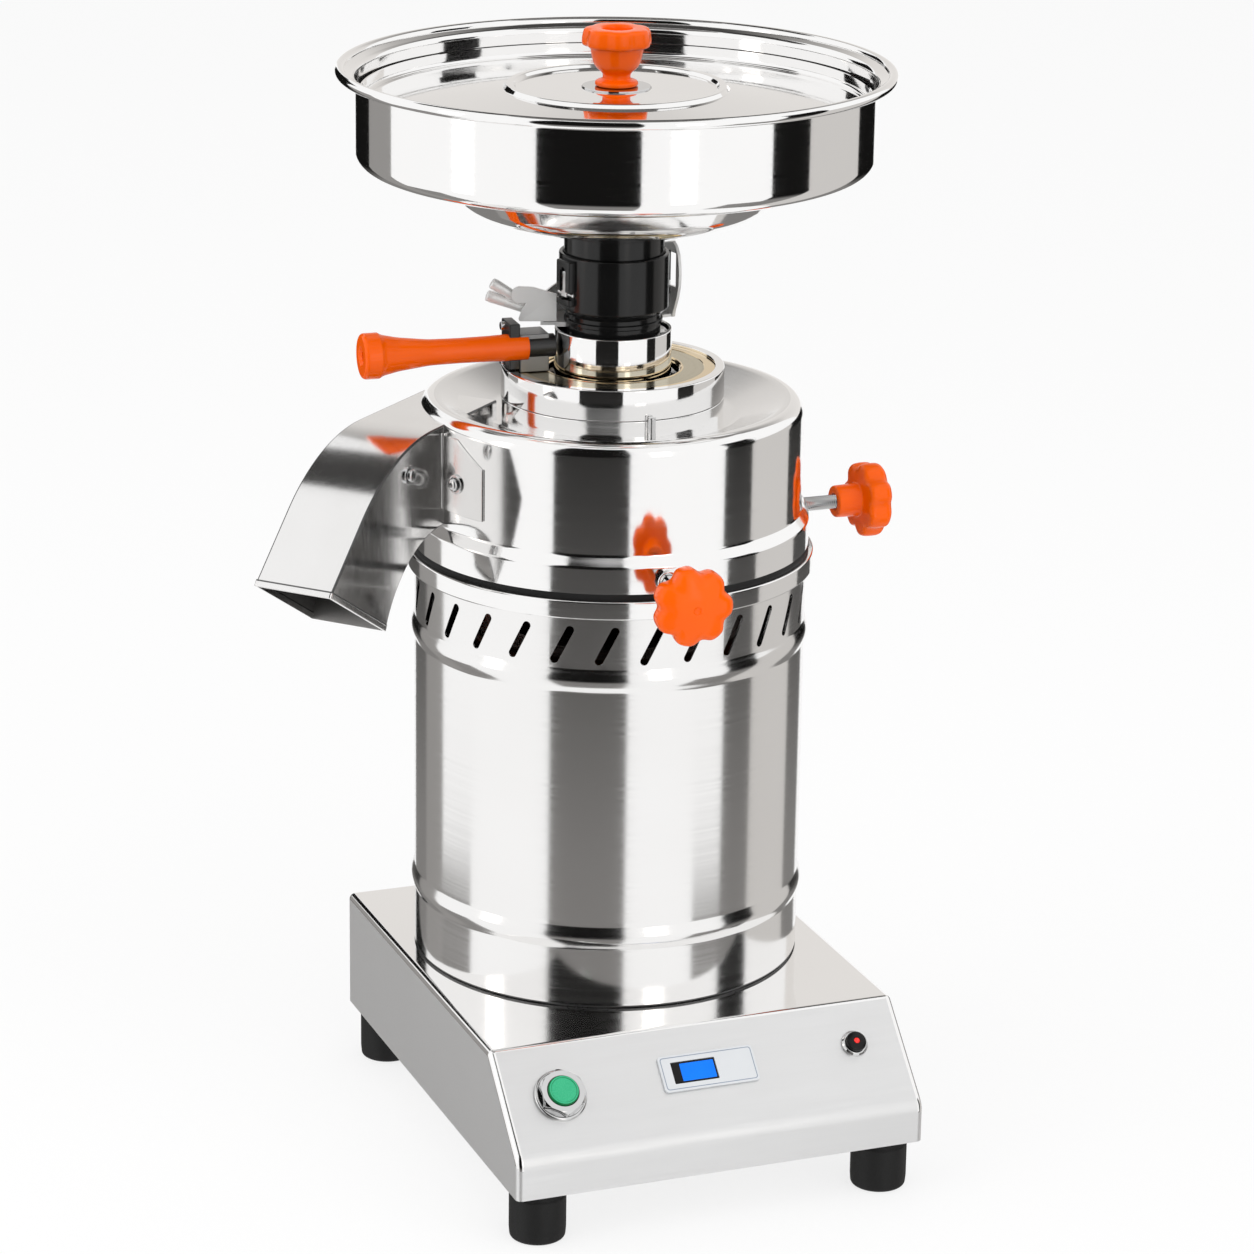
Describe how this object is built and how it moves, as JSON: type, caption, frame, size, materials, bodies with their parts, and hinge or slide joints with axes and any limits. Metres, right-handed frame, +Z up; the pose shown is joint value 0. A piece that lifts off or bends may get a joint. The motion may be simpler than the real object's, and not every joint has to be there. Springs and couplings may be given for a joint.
{
  "type": "tabletop flour mill",
  "caption": "Upright electric flour mill: sloped-panel base, motor drum, stone chamber with curved chute, gap lever and lift-off lidded hopper.",
  "frame": {"origin": "on the table plane under the drum's axis", "axes": "+Z up along the drum axis, -Y towards the sloping front panel, +X to the right as seen from the front"},
  "size_m": [0.389, 0.3467, 0.6162],
  "materials": {
    "satin_steel": "satin brushed stainless sheet",
    "polished_steel": "mirror polished stainless sheet",
    "bright_steel": "turned bright steel",
    "zinc_steel": "zinc plated fastener",
    "chrome_trim": "chrome plated",
    "cast_alloy": "machined casting",
    "lamination": "laminated core",
    "copper_winding": "varnished copper wire",
    "black_rubber": "matte rubber",
    "black_plastic": "satin black moulding",
    "orange_plastic": "glossy orange moulding",
    "green_plastic": "translucent green cap",
    "red_lens": "red lens",
    "white_plastic": "pale display frame",
    "blue_screen": "lit blue screen",
    "gold_dial": "gold anodised dial",
    "mill_stone": "dressed millstone"
  },
  "bodies": {
    "frame": {"base_housing": "satin_steel", "base_plate": "satin_steel", "rubber_feet": "black_rubber", "foot_bolts": "zinc_steel", "button_bezel": "chrome_trim", "button_nut": "chrome_trim", "button_switch": "black_plastic", "display_frame": "white_plastic", "display_screen": "blue_screen", "indicator_bezel": "chrome_trim", "indicator_face": "black_plastic", "indicator_lamp": "red_lens", "cord_gland": "black_plastic", "capacitor": "cast_alloy", "motor_shell": "polished_steel", "motor_flange": "cast_alloy", "lower_shield": "cast_alloy", "tie_bolts": "zinc_steel", "stator_core": "lamination", "stator_windings": "copper_winding", "upper_bearing": "bright_steel", "lower_bearing": "bright_steel", "flange_gasket": "black_rubber", "chamber_housing": "polished_steel", "thread_ring": "polished_steel", "index_pin": "bright_steel", "chute": "polished_steel", "chute_screws": "bright_steel"},
    "rotor": {"motor_shaft": "bright_steel", "rotor_core": "lamination", "cooling_fan": "black_plastic", "runner_hub": "bright_steel", "runner_stone": "mill_stone"},
    "adjuster": {"adjuster_cap": "polished_steel", "dial_plate": "gold_dial", "lever_clamp": "cast_alloy", "lever_bolts": "zinc_steel", "lever_tube": "black_plastic", "lever_grip": "orange_plastic"},
    "feed": {"upper_stone": "mill_stone", "stone_carrier": "bright_steel", "feed_collar": "polished_steel", "coupler_body": "black_plastic", "cam_pins": "chrome_trim", "lock_bracket": "polished_steel"},
    "left_cam": {"left_cam_arm": "bright_steel"},
    "right_cam": {"right_cam_arm": "bright_steel"},
    "lock": {"lock_lever": "bright_steel"},
    "hopper": {"hopper_bowl": "polished_steel", "hopper_spigot": "black_plastic"},
    "lid": {"hopper_lid": "polished_steel", "lid_knob": "orange_plastic", "lid_washer": "chrome_trim"},
    "button": {"button_cap": "green_plastic"},
    "front_screw": {"front_stud": "zinc_steel"},
    "front_star": {"front_knob": "orange_plastic"},
    "right_screw": {"right_stud": "zinc_steel"},
    "right_star": {"right_knob": "orange_plastic"},
    "rear_screw": {"rear_stud": "zinc_steel"},
    "rear_star": {"rear_knob": "orange_plastic"}
  },
  "joints": [
    {"name": "rotor_spin", "type": "hinge", "parent": "frame", "child": "rotor", "pos_m": [0, 0, 0.3203], "axis": [0, 0, 1], "continuous": true},
    {"name": "adjuster_turn", "type": "hinge", "parent": "frame", "child": "adjuster", "pos_m": [0, 0, 0.4321], "axis": [0, 0, 1], "range_deg": [-120, 120]},
    {"name": "feed_lift", "type": "slide", "parent": "frame", "child": "feed", "axis": [0, 0, 1], "range_m": [-0.00101, 0.00101]},
    {"name": "left_cam_swing", "type": "hinge", "parent": "feed", "child": "left_cam", "pos_m": [-0.02993, -0.00636, 0.4744], "axis": [0.2079, -0.9781, 0], "range_deg": [0, 95]},
    {"name": "right_cam_swing", "type": "hinge", "parent": "feed", "child": "right_cam", "pos_m": [0.02993, 0.00636, 0.4744], "axis": [-0.2079, 0.9781, 0], "range_deg": [0, 95]},
    {"name": "lock_swing", "type": "hinge", "parent": "feed", "child": "lock", "pos_m": [-0.04877, 0.01491, 0.4703], "axis": [0.2924, 0.9563, 0], "range_deg": [-30, 35]},
    {"name": "hopper_lift", "type": "slide", "parent": "feed", "child": "hopper", "axis": [0, 0, 1], "range_m": [0, 0.06]},
    {"name": "lid_lift", "type": "slide", "parent": "hopper", "child": "lid", "axis": [0, 0, 1], "range_m": [0, 0.06]},
    {"name": "button_press", "type": "slide", "parent": "frame", "child": "button", "axis": [0, 0.6955, -0.7185], "range_m": [0, 0.003], "stiffness_N_per_m": 600, "springref_m": -0.003},
    {"name": "front_screw_slide", "type": "slide", "parent": "frame", "child": "front_screw", "axis": [-0.0872, -0.9962, 0], "range_m": [0, 0.00376]},
    {"name": "front_star_turn", "type": "hinge", "parent": "front_screw", "child": "front_star", "pos_m": [-0.01307, -0.14943, 0.341], "axis": [-0.0872, -0.9962, 0], "range_deg": [0, 1080]},
    {"name": "right_screw_slide", "type": "slide", "parent": "frame", "child": "right_screw", "axis": [1, 0, 0], "range_m": [0, 0.00376]},
    {"name": "right_star_turn", "type": "hinge", "parent": "right_screw", "child": "right_star", "pos_m": [0.15, 0, 0.341], "axis": [1, 0, 0], "range_deg": [0, 1080]},
    {"name": "rear_screw_slide", "type": "slide", "parent": "frame", "child": "rear_screw", "axis": [0, 1, 0], "range_m": [0, 0.00376]},
    {"name": "rear_star_turn", "type": "hinge", "parent": "rear_screw", "child": "rear_star", "pos_m": [0, 0.15, 0.341], "axis": [0, 1, 0], "range_deg": [0, 1080]}
  ],
  "couplings": [
    {"joint": "feed_lift", "follows": "adjuster_turn", "m_per_rad": 0.00047746},
    {"joint": "front_screw_slide", "follows": "front_star_turn", "m_per_rad": 0.00019894},
    {"joint": "right_screw_slide", "follows": "right_star_turn", "m_per_rad": 0.00019894},
    {"joint": "rear_screw_slide", "follows": "rear_star_turn", "m_per_rad": 0.00019894}
  ]
}
